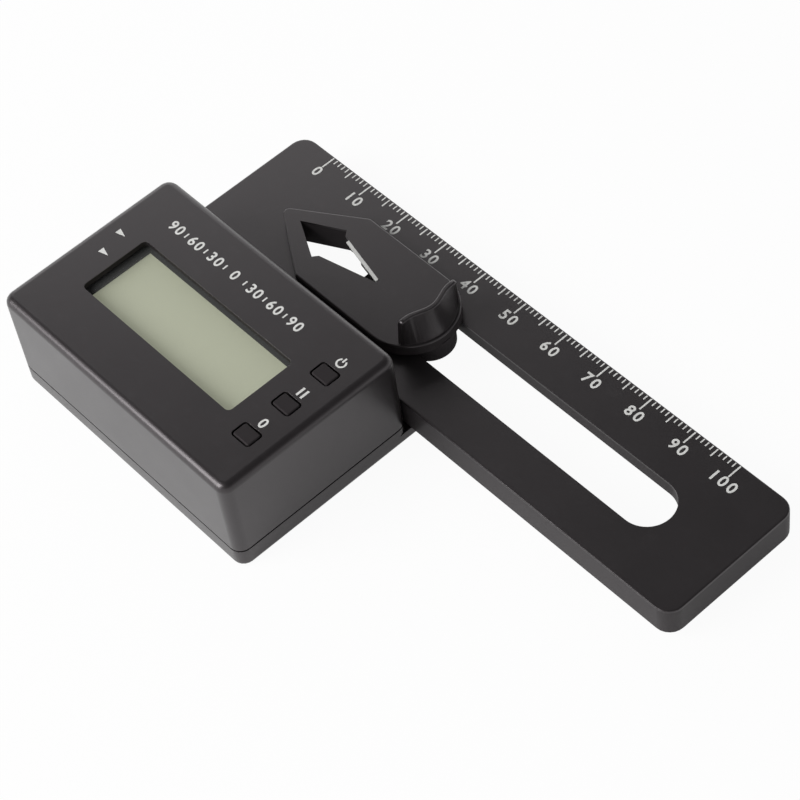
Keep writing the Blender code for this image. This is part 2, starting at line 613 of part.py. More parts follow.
def thumb_lip():
    """The wall on the round end: a thin rim that bulges in the middle, above a front that follows
    the round end down to its foot."""
    mesh = bmesh.new()
    rows = [[mesh.verts.new(point) for point in lip_section(share)] for share in lip_sections()]
    for row, following in zip(rows, rows[1:]):
        for i in range(len(row)):
            mesh.faces.new((row[i - 1], row[i], following[i], following[i - 1]))
    mesh.faces.new(rows[0])
    mesh.faces.new(rows[-1])
    bmesh.ops.recalc_face_normals(mesh, faces=mesh.faces)
    return mesh


def slider(root):
    """The arrow plate, the thumb lip on it and the neck that fills the slot below it."""
    half = PLATE_WIDTH / 2
    outline = pointed_outline(TIP_X, NOSE_X + half, half, point_slope(), TIP_RADIUS, SHOULDER_RADIUS)
    plate = model("slider", round_level(prism(outline, PLATE_BOTTOM, PLATE_TOP), PLATE_TOP, PLATE_EDGE, 2))
    neck = pointed_outline(NECK_LEFT, NECK_RIGHT, SLOT_WIDTH / 2 - NECK_SIDE_GAP, point_slope(),
                           NECK_TIP_RADIUS, SHOULDER_RADIUS)
    join(plate, prism(neck, -ARM_WEB, PLATE_BOTTOM + SINK), thumb_lip())
    shank, length = JAW_SCREW[2], JAW_SCREW[3]
    seat = JAW_BOTTOM + HEAD_RECESS + JAW_SCREW[1]
    pilots = [cylinder(x, y, shank + SEAT, -ARM_WEB - OVERRUN, seat + length + SEAT)
              for x, y in jaw_screw_places()]
    edge = PLATE_TOP - ARROW_WALL
    cut(plate, prism(arrow_outline(), -ARM_WEB - OVERRUN, PLATE_TOP + OVERRUN),
        prism(neck_opening(), -ARM_WEB - OVERRUN, edge), *pilots)
    return finished(plate, "black_plastic", root, (NOSE_X, SLOT_Y, 0))


def moving_jaw(root):
    """The retainer that runs between the arm's rails, with the grooved jaw below it."""
    half = RAIL_GAP / 2 - SEAT
    near, far = SLOT_Y - JAW_WIDTH / 2, SLOT_Y + JAW_WIDTH / 2
    jaw = model("moving_jaw", block(RETAINER_LEFT, RETAINER_LEFT + RETAINER_LENGTH, SLOT_Y - half,
                                    SLOT_Y + half, RETAINER_BOTTOM, RETAINER_TOP, JAW_CORNER))
    join(jaw, block(MOVING_FACE_X, MOVING_FACE_X + MOVING_JAW_LENGTH, near, far, JAW_BOTTOM,
                    RETAINER_BOTTOM + SINK))
    tools = [jaw_groove(MOVING_FACE_X, -1)]
    head, height, shank, _ = JAW_SCREW
    for x, y in jaw_screw_places():
        tools.append(cylinder(x, y, shank + SEAT, JAW_BOTTOM - OVERRUN, RETAINER_TOP + OVERRUN))
        tools.append(cylinder(x, y, head + SEAT, JAW_BOTTOM - OVERRUN,
                              JAW_BOTTOM + height + HEAD_RECESS + SEAT))
    for middle in leaf_lines():
        tools.append(block(*leaf_span(SEAT), middle - LEAF_WIDTH / 2 - SEAT, middle + LEAF_WIDTH / 2 + SEAT,
                           RETAINER_TOP - LEAF_POCKET, RETAINER_TOP + OVERRUN))
    cut(jaw, *tools)
    return finished(jaw, "black_plastic", root, (MOVING_FACE_X, SLOT_Y, JAW_BOTTOM))


def leaf_lines():
    """The centre lines of the two leaf springs, either side of the slot."""
    return SLOT_Y - LEAF_OFFSET, SLOT_Y + LEAF_OFFSET


def leaf_span(gap):
    middle = RETAINER_LEFT + RETAINER_LENGTH / 2
    return middle - LEAF_LENGTH / 2 - gap, middle + LEAF_LENGTH / 2 + gap


def friction_spring(name, middle, root):
    """A bowed leaf in the retainer's pocket, its crown just under the arm's web."""
    left, right = leaf_span(0)
    low = RETAINER_TOP - LEAF_POCKET + SEAT
    lower = []
    for i in range(LEAF_POINTS):
        share = i / (LEAF_POINTS - 1)
        lower.append((left + (right - left) * share, low + LEAF_BOW * math.sin(math.pi * share)))
    upper = [(x, z + LEAF_THICK) for x, z in reversed(lower)]
    leaf = model(name, side_prism(lower + upper, middle - LEAF_WIDTH / 2, middle + LEAF_WIDTH / 2))
    return finished(leaf, "spring_steel", root, ((left + right) / 2, middle, low))


def box_outline(inset=0.0):
    radius = max(BOX_CORNER - inset, POCKET_CORNER)
    return rectangle(BOX_LEFT + inset, BOX_RIGHT - inset, BOX_NEAR + inset, BOX_FAR - inset, radius,
                     ARC_STEPS + 1)


def top_shell(root):
    """The moulded box: walls and top in one, with the display opening, key holes and screw bosses."""
    outer = round_level(prism(box_outline(), SHELL_BOTTOM, BOX_TOP), BOX_TOP, BOX_EDGE, BOX_EDGE_STEPS)
    shell = model("top_shell", outer)
    cut(shell, prism(box_outline(SHELL_WALL), SHELL_BOTTOM - OVERRUN, CEILING))
    tongue_top = COVER_TOP + TONGUE_HEIGHT
    bosses = [cylinder(x, y, CORNER_BOSS_RADIUS, tongue_top + SEAT, CEILING + SINK)
              for x, y in corner_boss_places()]
    bosses += [cylinder(x, y, BOARD_BOSS_RADIUS, BOARD_TOP + SEAT, CEILING + SINK)
               for x, y in board_screw_places()]
    join(shell, *bosses)
    right, far = VIEW_LEFT + VIEW_LENGTH, VIEW_NEAR + VIEW_WIDTH
    tools = [block(VIEW_LEFT, right, VIEW_NEAR, far, CEILING - OVERRUN, BOX_TOP + OVERRUN, VIEW_CORNER)]
    lap = WINDOW_LAP + SEAT
    tools.append(block(VIEW_LEFT - lap, right + lap, VIEW_NEAR - lap, far + lap,
                       CEILING - OVERRUN, BOX_TOP - WINDOW_DEPTH))
    for x, y in key_places():
        tools.append(block(x - KEY_HOLE_LENGTH / 2, x + KEY_HOLE_LENGTH / 2, y - KEY_HOLE_WIDTH / 2,
                           y + KEY_HOLE_WIDTH / 2, CEILING - OVERRUN, BOX_TOP + OVERRUN, KEY_CORNER))
    for places, size, seat in ((corner_boss_places(), COVER_SCREW, cover_screw_seat()),
                               (board_screw_places(), BOARD_SCREW, board_screw_seat())):
        for x, y in places:
            tools.append(cylinder(x, y, size[2] + SEAT, SHELL_BOTTOM - OVERRUN, seat + size[3] + SEAT))
    cut(shell, *tools)
    return finished(shell, "black_plastic", root)


def cover_screw_seat():
    return REST + HEAD_RECESS + COVER_SCREW[1]


def board_screw_seat():
    return BOARD_BOTTOM - SEAT


def rear_cover(root):
    """The tray that closes the box: rim tongue, screw bosses, cell well, door channel and arm flange."""
    outer = round_level(prism(box_outline(), REST, COVER_TOP), REST, COVER_EDGE, 3)
    cover = model("rear_cover", outer)
    cut(cover, prism(box_outline(COVER_WALL), REST + COVER_PLATE, COVER_TOP + OVERRUN))
    tongue = model("tongue", prism(box_outline(SHELL_WALL + SEAT), REST + COVER_PLATE - SINK,
                                   COVER_TOP + TONGUE_HEIGHT))
    cut(tongue, prism(box_outline(SHELL_WALL + SEAT + TONGUE_WALL), REST,
                      COVER_TOP + TONGUE_HEIGHT + OVERRUN))
    ring = bmesh.new()
    ring.from_mesh(tongue.data)
    bpy.data.objects.remove(tongue, do_unlink=True)
    flange = block(FLANGE_LEFT, FLANGE_LEFT + FLANGE_LENGTH, BOX_FAR - BOX_CORNER, BOX_FAR + FLANGE_REACH,
                   REST, REST + FLANGE_HEIGHT, FLANGE_CORNER)
    bosses = [cylinder(x, y, COVER_BOSS_RADIUS, REST + COVER_PLATE - SINK, COVER_TOP + TONGUE_HEIGHT)
              for x, y in corner_boss_places()]
    join(cover, ring, flange, *bosses)
    well = CELL_RADIUS + WELL_GAP + WELL_WALL
    half = DOOR_WIDTH / 2 + DOOR_TONGUE + SEAT
    roof = block(BOX_LEFT + COVER_WALL - SINK, DOOR_RIGHT + SEAT + WELL_WALL, BOX_MIDDLE - half - WELL_WALL,
                 BOX_MIDDLE + half + WELL_WALL, REST + COVER_PLATE - SINK, CHANNEL_TOP + CHANNEL_ROOF)
    well_top = CHANNEL_TOP + WELL_HEIGHT
    join(cover, roof, cylinder(CELL_X, BOX_MIDDLE, well, REST + COVER_PLATE - SINK, well_top,
                               2 * ROUND_STEPS))
    left, right = BOX_LEFT - OVERRUN, DOOR_RIGHT + SEAT
    narrow = DOOR_WIDTH / 2 + SEAT
    lip_top = DOOR_TOP - DOOR_TONGUE_HEIGHT - SEAT
    notch_x = CELL_X + CELL_RADIUS - OVERRUN
    tools = [
        cylinder(CELL_X, BOX_MIDDLE, CELL_RADIUS + WELL_GAP, CHANNEL_TOP - SINK, well_top + OVERRUN,
                 2 * ROUND_STEPS),
        block(left, right, BOX_MIDDLE - narrow, BOX_MIDDLE + narrow, REST - OVERRUN, CHANNEL_TOP),
        block(left, right, BOX_MIDDLE - half, BOX_MIDDLE + half, lip_top, CHANNEL_TOP),
        block(notch_x, CELL_X + well + OVERRUN, BOX_MIDDLE - NOTCH_WIDTH / 2,
              BOX_MIDDLE + NOTCH_WIDTH / 2, CHANNEL_TOP + CHANNEL_ROOF, well_top + OVERRUN),
    ]
    for places, size in ((corner_boss_places(), COVER_SCREW), (arm_screw_places(), ARM_SCREW)):
        head, height, shank, _ = size
        for x, y in places:
            tools.append(cylinder(x, y, shank + SEAT, REST - OVERRUN, BOX_TOP))
            tools.append(cylinder(x, y, head + SEAT, REST - OVERRUN, REST + HEAD_RECESS + height + SEAT))
    cut(cover, *tools)
    return finished(cover, "black_plastic", root)


def battery_door(root):
    """The sliding door: side tongues run in the cover's channel, and ridges give the thumb a grip."""
    half = DOOR_WIDTH / 2
    door = model("battery_door", block(BOX_LEFT, DOOR_RIGHT, BOX_MIDDLE - half, BOX_MIDDLE + half,
                                       DOOR_BOTTOM, DOOR_TOP))
    join(door, block(BOX_LEFT + COVER_WALL, DOOR_RIGHT, BOX_MIDDLE - half - DOOR_TONGUE,
                     BOX_MIDDLE + half + DOOR_TONGUE, DOOR_TOP - DOOR_TONGUE_HEIGHT, DOOR_TOP))
    grooves = []
    for i in range(GRIP_COUNT):
        left = BOX_LEFT + GRIP_INSET + GRIP_PITCH * i
        grooves.append(block(left, left + GRIP_WIDTH, BOX_MIDDLE - GRIP_LENGTH / 2,
                             BOX_MIDDLE + GRIP_LENGTH / 2, DOOR_BOTTOM - OVERRUN,
                             DOOR_BOTTOM + GRIP_DEPTH))
    cut(door, *grooves)
    return finished(door, "black_plastic", root, (BOX_LEFT, BOX_MIDDLE, DOOR_BOTTOM))


def display_window(root):
    pane = view_box(WINDOW_LAP, WINDOW_TOP - WINDOW_THICK, WINDOW_TOP)
    return finished(model("display_window", pane), "clear_plastic", root)


def view_box(lap, low, high):
    """A block that laps the display opening on all sides."""
    right, far = VIEW_LEFT + VIEW_LENGTH, VIEW_NEAR + VIEW_WIDTH
    return block(VIEW_LEFT - lap, right + lap, VIEW_NEAR - lap, far + lap, low, high)


def lcd_panel(root):
    return finished(model("lcd_panel", view_box(LCD_LAP, LCD_BOTTOM, LCD_TOP)), "display_glass", root)


def lcd_holder(root):
    """The frame that stands on the board and carries the display on an inner ledge."""
    low, high = BOARD_TOP + SEAT, LCD_BOTTOM + HOLDER_ABOVE
    holder = model("lcd_holder", view_box(LCD_LAP + SEAT + HOLDER_WALL, low, high))
    cut(holder, view_box(LCD_LAP + SEAT, LCD_BOTTOM - SEAT, high + OVERRUN),
        view_box(LCD_LAP - HOLDER_LEDGE, low - OVERRUN, high + OVERRUN))
    return finished(holder, "holder_plastic", root)


def zebra_strip(root):
    """The rubber strip that joins the display's contacts to the board's."""
    near = VIEW_NEAR - LCD_LAP + HOLDER_LEDGE + SEAT
    strip = block(VIEW_LEFT, VIEW_LEFT + VIEW_LENGTH, near, near + ZEBRA_WIDTH, BOARD_TOP + SEAT,
                  LCD_BOTTOM - SEAT)
    return finished(model("zebra_strip", strip), "contact_rubber", root)


def circuit_board(root):
    left, right = BOX_LEFT + SHELL_WALL + BOARD_GAP, BOX_RIGHT - SHELL_WALL - BOARD_GAP
    board = model("circuit_board", block(left, right, BOARD_NEAR, BOARD_FAR, BOARD_BOTTOM, BOARD_TOP,
                                         BOARD_CORNER))
    low, high = BOARD_BOTTOM - OVERRUN, BOARD_TOP + OVERRUN
    tools = [cylinder(x, y, CORNER_BOSS_RADIUS + SEAT, low, high) for x, y in corner_boss_places()]
    tools += [cylinder(x, y, BOARD_SCREW[2] + SEAT, low, high) for x, y in board_screw_places()]
    cut(board, *tools)
    return finished(board, "board_green", root)


def tilt_sensor(root):
    """The acceleration sensor that measures the tilt, on the board's scale side."""
    y = BOARD_FAR - SENSOR_INSET
    chip = block(SENSOR_X - SENSOR_LENGTH / 2, SENSOR_X + SENSOR_LENGTH / 2, y - SENSOR_WIDTH / 2,
                 y + SENSOR_WIDTH / 2, BOARD_TOP + SEAT, BOARD_TOP + SEAT + SENSOR_HEIGHT)
    return finished(model("tilt_sensor", chip), "chip_resin", root)


def controller_chip(root):
    """The resin drop over the controller, under the board."""
    dome = [(CHIP_RADIUS * math.cos(math.radians(a)), -CHIP_HEIGHT * math.sin(math.radians(a)))
            for a in range(90, -1, -15)]
    drop = model("controller_chip", turned([(0, dome[0][1])] + dome[1:] + [(0, 0)]))
    place = (CHIP_X, BOX_MIDDLE, BOARD_BOTTOM - SEAT)
    drop.data.transform(Matrix.Translation(place))
    return finished(drop, "chip_resin", root, place)


def key_cap(name, place, root):
    """A key: its cap stands in the shell's hole, and a hidden flange keeps it in."""
    x, y = place
    length, width = KEY_HOLE_LENGTH / 2 - SEAT, KEY_HOLE_WIDTH / 2 - SEAT
    cap = model(name, round_level(block(x - length, x + length, y - width, y + width, KEY_BOTTOM, KEY_TOP,
                                        KEY_CORNER - SEAT), KEY_TOP, KEY_EDGE, 2))
    join(cap, block(x - length - KEY_FLANGE, x + length + KEY_FLANGE, y - width - KEY_FLANGE,
                    y + width + KEY_FLANGE, KEY_BOTTOM, KEY_BOTTOM + KEY_FLANGE_HEIGHT, KEY_CORNER))
    return finished(cap, "key_plastic", root, (x, y, KEY_BOTTOM))


def key_switch(name, place, root):
    """The switch under a key: a square body on the board and a round plunger below the key."""
    x, y = place
    half = SWITCH_SIZE / 2
    low = BOARD_TOP + SEAT
    switch = model(name, block(x - half, x + half, y - half, y + half, low, low + SWITCH_HEIGHT))
    join(switch, cylinder(x, y, PLUNGER_RADIUS, low + SWITCH_HEIGHT - SINK, KEY_BOTTOM - KEY_TRAVEL - SEAT))
    return finished(switch, "chip_resin", root, (x, y, low))


def button_cell(root):
    """A 20 mm lithium cell, its can towards the door and its smaller cap towards the board."""
    inner = CELL_RADIUS - CELL_RIM
    profile = [(0, 0), (CELL_RADIUS - CELL_STEP, 0), (CELL_RADIUS, CELL_STEP),
               (CELL_RADIUS, CELL_HEIGHT - CELL_STEP), (inner, CELL_HEIGHT - CELL_STEP),
               (inner, CELL_HEIGHT), (0, CELL_HEIGHT)]
    cell = model("button_cell", turned(profile, 2 * ROUND_STEPS))
    place = (CELL_X, BOX_MIDDLE, CELL_BOTTOM)
    cell.data.transform(Matrix.Translation(place))
    return finished(cell, "cell_steel", root, place)


def strip(name, path, root):
    """A bent contact strip: a path of (x, z) points with the strip's thickness to its upper side."""
    offset = []
    for i, point in enumerate(path):
        here = Vector(point)
        before = (here - Vector(path[i - 1])).normalized() if i else None
        after = (Vector(path[i + 1]) - here).normalized() if i + 1 < len(path) else None
        runs = [run for run in (before, after) if run]
        normals = [Vector((-run.y, run.x)) for run in runs]
        middle = sum(normals, Vector((0, 0))).normalized()
        offset.append(here + middle * CONTACT_THICK / middle.dot(normals[0]))
    profile = [tuple(point) for point in path] + [tuple(point) for point in reversed(offset)]
    near, far = BOX_MIDDLE - CONTACT_WIDTH / 2, BOX_MIDDLE + CONTACT_WIDTH / 2
    return finished(model(name, side_prism(profile, near, far)), "spring_steel", root)


def positive_contact(root):
    """It stands beside the cell, touches the can's edge and turns under the board."""
    x = CELL_X + CELL_RADIUS + SEAT + CONTACT_THICK
    top = BOARD_BOTTOM - SEAT - CONTACT_THICK
    path = [(x, CELL_BOTTOM + CHANNEL_ROOF + SEAT), (x, top), (x + CONTACT_FOOT, top)]
    return strip("positive_contact", path, root)


def negative_contact(root):
    """A spring tongue from the board's underside down onto the cell's cap."""
    top = BOARD_BOTTOM - SEAT - CONTACT_THICK
    cap = CELL_BOTTOM + CELL_HEIGHT + SEAT
    foot, tip = CELL_X - SPRING_FOOT_BACK, CELL_X + SPRING_TIP_AHEAD
    path = [(foot, top), (foot + SPRING_FOOT, top), (tip - SPRING_TIP, cap), (tip, cap)]
    return strip("negative_contact", path, root)


def gauge_root():
    """The empty that carries every piece and centres the object's box on the origin."""
    root = bpy.data.objects.new("gauge_root", None)
    bpy.context.scene.collection.objects.link(root)
    root.location = (-(ARM_LEFT + ARM_RIGHT) / 2, -BOX_NEAR / 2, -REST)
    return root


def build():
    clear_scene()
    root = gauge_root()
    measuring_arm(root)
    slider(root)
    moving_jaw(root)
    for name, middle in zip(("friction_spring_near", "friction_spring_far"), leaf_lines()):
        friction_spring(name, middle, root)
    top_shell(root)
    rear_cover(root)
    battery_door(root)
    display_window(root)
    lcd_panel(root)
    lcd_holder(root)
    zebra_strip(root)
    circuit_board(root)
    tilt_sensor(root)
    controller_chip(root)
    for name, place in zip(("power", "hold", "zero"), key_places()):
        key_cap(name + "_key", place, root)
        key_switch(name + "_switch", place, root)
    button_cell(root)
    positive_contact(root)
    negative_contact(root)
    seats = (
        ("cover_screw", corner_boss_places(), COVER_SCREW, cover_screw_seat()),
        ("arm_screw", arm_screw_places(), ARM_SCREW, REST + HEAD_RECESS + ARM_SCREW[1]),
        ("jaw_screw", jaw_screw_places(), JAW_SCREW, JAW_BOTTOM + HEAD_RECESS + JAW_SCREW[1]),
        ("board_screw", board_screw_places(), BOARD_SCREW, board_screw_seat()),
    )
    for name, places, size, seat in seats:
        for i, (x, y) in enumerate(places):
            screw(f"{name}_{i + 1}", (x, y, seat), size, root)
    bpy.context.view_layer.update()


build()
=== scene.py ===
import json
import math

import bmesh
import bpy
from mathutils import Matrix, Vector


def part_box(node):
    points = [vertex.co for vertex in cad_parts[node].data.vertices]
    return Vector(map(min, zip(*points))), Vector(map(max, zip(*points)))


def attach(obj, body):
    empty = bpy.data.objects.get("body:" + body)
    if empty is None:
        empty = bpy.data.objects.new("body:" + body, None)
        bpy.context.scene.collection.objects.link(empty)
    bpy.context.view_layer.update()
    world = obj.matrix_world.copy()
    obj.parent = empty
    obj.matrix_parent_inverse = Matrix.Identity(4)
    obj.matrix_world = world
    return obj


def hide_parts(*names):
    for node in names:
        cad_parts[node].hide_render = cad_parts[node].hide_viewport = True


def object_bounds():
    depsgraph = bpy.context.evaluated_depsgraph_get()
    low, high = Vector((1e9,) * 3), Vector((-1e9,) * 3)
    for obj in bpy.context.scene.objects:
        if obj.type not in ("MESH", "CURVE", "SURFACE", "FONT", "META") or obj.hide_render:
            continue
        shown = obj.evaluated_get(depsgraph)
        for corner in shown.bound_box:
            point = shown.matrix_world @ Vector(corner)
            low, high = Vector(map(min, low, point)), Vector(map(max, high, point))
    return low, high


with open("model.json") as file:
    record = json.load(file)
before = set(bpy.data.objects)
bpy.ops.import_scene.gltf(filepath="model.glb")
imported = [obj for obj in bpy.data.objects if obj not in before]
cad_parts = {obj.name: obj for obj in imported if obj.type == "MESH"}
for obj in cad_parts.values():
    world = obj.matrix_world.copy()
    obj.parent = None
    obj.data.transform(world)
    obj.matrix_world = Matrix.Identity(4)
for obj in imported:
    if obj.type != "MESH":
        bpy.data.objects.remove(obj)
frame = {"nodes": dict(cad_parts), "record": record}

cad_low, cad_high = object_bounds()

# Camera. It stands where the photograph was taken, found from the ticks of the printed scale:
# above the gauge's near right corner, about half a metre away, with a slight roll.
MM = 0.001
YAW, PITCH, ROLL = math.radians(55.609), math.radians(51.842), math.radians(9.846)
EYE = Vector((223.07, -149.88, 355.92)) * MM
SENSOR = 36.0
IMAGE_WIDTH = 800
FOCAL_PIXELS = 2645.4

forward = Vector((-math.sin(YAW) * math.cos(PITCH), math.cos(YAW) * math.cos(PITCH), -math.sin(PITCH)))
level = Vector((math.cos(YAW), math.sin(YAW), 0))
down = forward.cross(level)
right = math.cos(ROLL) * level + math.sin(ROLL) * down
down = math.cos(ROLL) * down - math.sin(ROLL) * level
lens = bpy.data.cameras.new("camera")
lens.sensor_width = SENSOR
lens.lens = SENSOR * FOCAL_PIXELS / IMAGE_WIDTH
lens.clip_start, lens.clip_end = 10 * MM, 10000 * MM
camera = bpy.data.objects.new("camera", lens)
camera.matrix_world = Matrix.Translation(EYE) @ Matrix((right, -down, -forward)).transposed().to_4x4()
bpy.context.scene.collection.objects.link(camera)
bpy.context.scene.camera = camera
bpy.context.scene.view_settings.view_transform = "Standard"


# Floor. A pale sweep that reads as white where the camera sees it and keeps a faint shadow of
# the gauge. The two classes here write shader maths as plain expressions, for every finish below.
class Level:
    """The value of a socket: arithmetic on it adds Math nodes."""

    def __init__(self, finish, socket):
        self.finish, self.socket = finish, socket

    def reckon(self, operation, *values):
        return self.finish.node("ShaderNodeMath", {"operation": operation}, dict(enumerate(values)))

    def __add__(self, other):
        return self.reckon("ADD", self, other)

    def __sub__(self, other):
        return self.reckon("SUBTRACT", self, other)

    def __rsub__(self, other):
        return self.reckon("SUBTRACT", other, self)

    def __mul__(self, other):
        return self.reckon("MULTIPLY", self, other)

    def __gt__(self, other):
        return self.reckon("GREATER_THAN", self, other)

    def __lt__(self, other):
        return self.reckon("LESS_THAN", self, other)

    __radd__, __rmul__ = __add__, __mul__

    def either(self, other):
        return self.reckon("MAXIMUM", self, other)

    def wave(self):
        return self.reckon("SINE", self)

    def spread(self, low, high):
        """The value's reach from low to high, stretched over 0 to 1 and kept within it."""
        return self.finish.node("ShaderNodeMapRange", {}, {0: self, 1: low, 2: high})


class Finish:
    """A material that is put together from nodes."""

    def __init__(self, name, colour=(0.8, 0.8, 0.8), roughness=0.5, **sockets):
        self.material = bpy.data.materials.new(name)
        self.material.use_nodes = True
        self.tree = self.material.node_tree
        self.shader = self.tree.nodes["Principled BSDF"]
        self.set("Base Color", (*colour, 1.0))
        self.set("Roughness", roughness)
        for socket, value in sockets.items():
            self.set(socket.replace("_", " ").title().replace("Ior", "IOR"), value)

    def set(self, socket, value):
        self.feed(self.shader.inputs[socket], value)

    def feed(self, socket, value):
        if isinstance(value, Level):
            self.tree.links.new(value.socket, socket)
        else:
            socket.default_value = value

    def node(self, kind, settings=None, sockets=None, output=0):
        made = self.tree.nodes.new(kind)
        for name, value in (settings or {}).items():
            setattr(made, name, value)
        for name, value in (sockets or {}).items():
            self.feed(made.inputs[name], value)
        return Level(self, made.outputs[output])

    def place(self):
        return self.node("ShaderNodeTexCoord", output="Object")

    def axes(self):
        """The x, y and z values of the place on the gauge."""
        split = self.node("ShaderNodeSeparateXYZ", {}, {0: self.place()}).socket.node
        return [Level(self, socket) for socket in split.outputs]

    def noise(self, size, detail=2.0, rough=0.5, vector=None):
        """Noise from 0 to 1, with grains of about the size given."""
        return self.node("ShaderNodeTexNoise", {}, {"Vector": vector or self.place(), "Scale": 1 / size,
                                                   "Detail": detail, "Roughness": rough})

    def mix(self, share, first, second):
        """A blend of two colours, each a Level or three numbers."""
        first, second = (c if isinstance(c, Level) else (*c, 1.0) for c in (first, second))
        return self.node("ShaderNodeMix", {"data_type": "RGBA"}, {0: share, 6: first, 7: second}, 2)

    def bump(self, height, distance, strength=1.0):
        self.set("Normal", self.node("ShaderNodeBump", {}, {"Strength": strength, "Distance": distance,
                                                            "Height": height}))


FLOOR_SIZE = 3000 * MM
FLOOR_TONE = 0.86
FLOOR_GLOW_SHARE = 0.95
MIRRORED_GLOW_SHARE = 0.36

pale = Finish("floor_pale", (FLOOR_TONE, FLOOR_TONE, FLOOR_TONE), 0.9)
path = pale.node("ShaderNodeLightPath").socket.node
rays = [Level(pale, path.outputs[f"Is {kind} Ray"]) for kind in ("Camera", "Transmission", "Glossy")]
seen = (rays[0].either(rays[1]) * FLOOR_GLOW_SHARE).either(rays[2] * MIRRORED_GLOW_SHARE)
glow = pale.node("ShaderNodeEmission", {}, {"Strength": 1.0})
blend = pale.node("ShaderNodeMixShader", {}, {0: seen, 1: Level(pale, pale.shader.outputs[0]), 2: glow})
pale.feed(pale.tree.nodes["Material Output"].inputs["Surface"], blend)


def new_object(name, mesh, finish):
    """An object from a bmesh, with its finish; the bmesh is freed."""
    data = bpy.data.meshes.new(name)
    mesh.to_mesh(data)
    mesh.free()
    obj = bpy.data.objects.new(name, data)
    data.materials.append(finish.material)
    bpy.context.scene.collection.objects.link(obj)
    return obj


mesh = bmesh.new()
bmesh.ops.create_grid(mesh, x_segments=1, y_segments=1, size=FLOOR_SIZE / 2)
floor = new_object("floor", mesh, pale)


# Light. A white room, brighter towards the horizon than overhead, gives an even level. A large soft
# box stands to the near left, one to the far left gives the top faces their sheen, and a low one
# behind draws the bright lines along the far edges.
HORIZON_LEVEL = 0.95
OVERHEAD_LEVEL = 0.1
HORIZON_RISE = (0.1, 0.62)
LAMPS = {
    "near_left_softbox": ((-260, -620, 520), 520, 7.2),
    "far_left_softbox": ((-560, 260, 360), 420, 0.66),
    "low_rear_softbox": ((-400, 560, 170), 420, 0.25),
}

world = bpy.data.worlds.new("room")
world.use_nodes = True
bpy.context.scene.world = world
tree = world.node_tree
horizon = tree.nodes["Background"]
overhead, backdrop = (tree.nodes.new("ShaderNodeBackground") for _ in range(2))
for part, strength in ((horizon, HORIZON_LEVEL), (overhead, OVERHEAD_LEVEL), (backdrop, 1)):
    part.inputs["Color"].default_value = (1, 1, 1, 1)
    part.inputs["Strength"].default_value = strength
direction = tree.nodes.new("ShaderNodeTexCoord")
split = tree.nodes.new("ShaderNodeSeparateXYZ")
rise = tree.nodes.new("ShaderNodeMapRange")
rise.inputs["From Min"].default_value, rise.inputs["From Max"].default_value = HORIZON_RISE
room, mixer = (tree.nodes.new("ShaderNodeMixShader") for _ in range(2))
rays = tree.nodes.new("ShaderNodeLightPath")
either = tree.nodes.new("ShaderNodeMath")
either.operation = "MAXIMUM"
for source, target in (
        (direction.outputs["Generated"], split.inputs[0]),
        (split.outputs["Z"], rise.inputs["Value"]),
        (rise.outputs[0], room.inputs[0]),
        (horizon.outputs[0], room.inputs[1]),
        (overhead.outputs[0], room.inputs[2]),
        (rays.outputs["Is Camera Ray"], either.inputs[0]),
        (rays.outputs["Is Transmission Ray"], either.inputs[1]),
        (either.outputs[0], mixer.inputs[0]),
        (room.outputs[0], mixer.inputs[1]),
        (backdrop.outputs[0], mixer.inputs[2]),
        (mixer.outputs[0], tree.nodes["World Output"].inputs["Surface"])):
    tree.links.new(source, target)

for name, (place, size, power) in LAMPS.items():
    light = bpy.data.lights.new(name, "AREA")
    light.shape, light.size, light.energy = "SQUARE", size * MM, power
    lamp = bpy.data.objects.new(name, light)
    lamp.location = Vector(place) * MM
    lamp.rotation_mode = "QUATERNION"
    lamp.rotation_quaternion = (-lamp.location).to_track_quat("-Z", "Y")
    bpy.context.scene.collection.objects.link(lamp)


# Measuring arm. A glass-filled black moulding: a thin top inside a deeper skirt with ribs below,
# a long slot, and the fixed jaw under its zero end. Its fine grain comes from the eroded mould.
BLACK = (0.0115, 0.0100, 0.0106)
BLACK_WORN = (0.019, 0.0172, 0.0180)
SHEEN_TINT = (1.0, 0.88, 0.93, 1.0)
# Near-black painted shade, for the shadow in the display opening's well and under the window's rim.
PAINTED_WELL_SHADE = (0.0025, 0.0025, 0.0025)
COAT, COAT_ROUGHNESS = 0.65, 0.28
ARM_WALL_COAT = 0.4
CLOUD_SIZE, RUBBED_SIZE = 9 * MM, 2.5 * MM
GRAIN_DEPTH = 0.012 * MM
MATT_ROUGHNESS = 0.75
ARM_POLISHED = 0.4 * MM  # of its height, at the top
PLANAR = math.radians(0.5)
CREASE = math.radians(30)
MERGE = 0.002 * MM


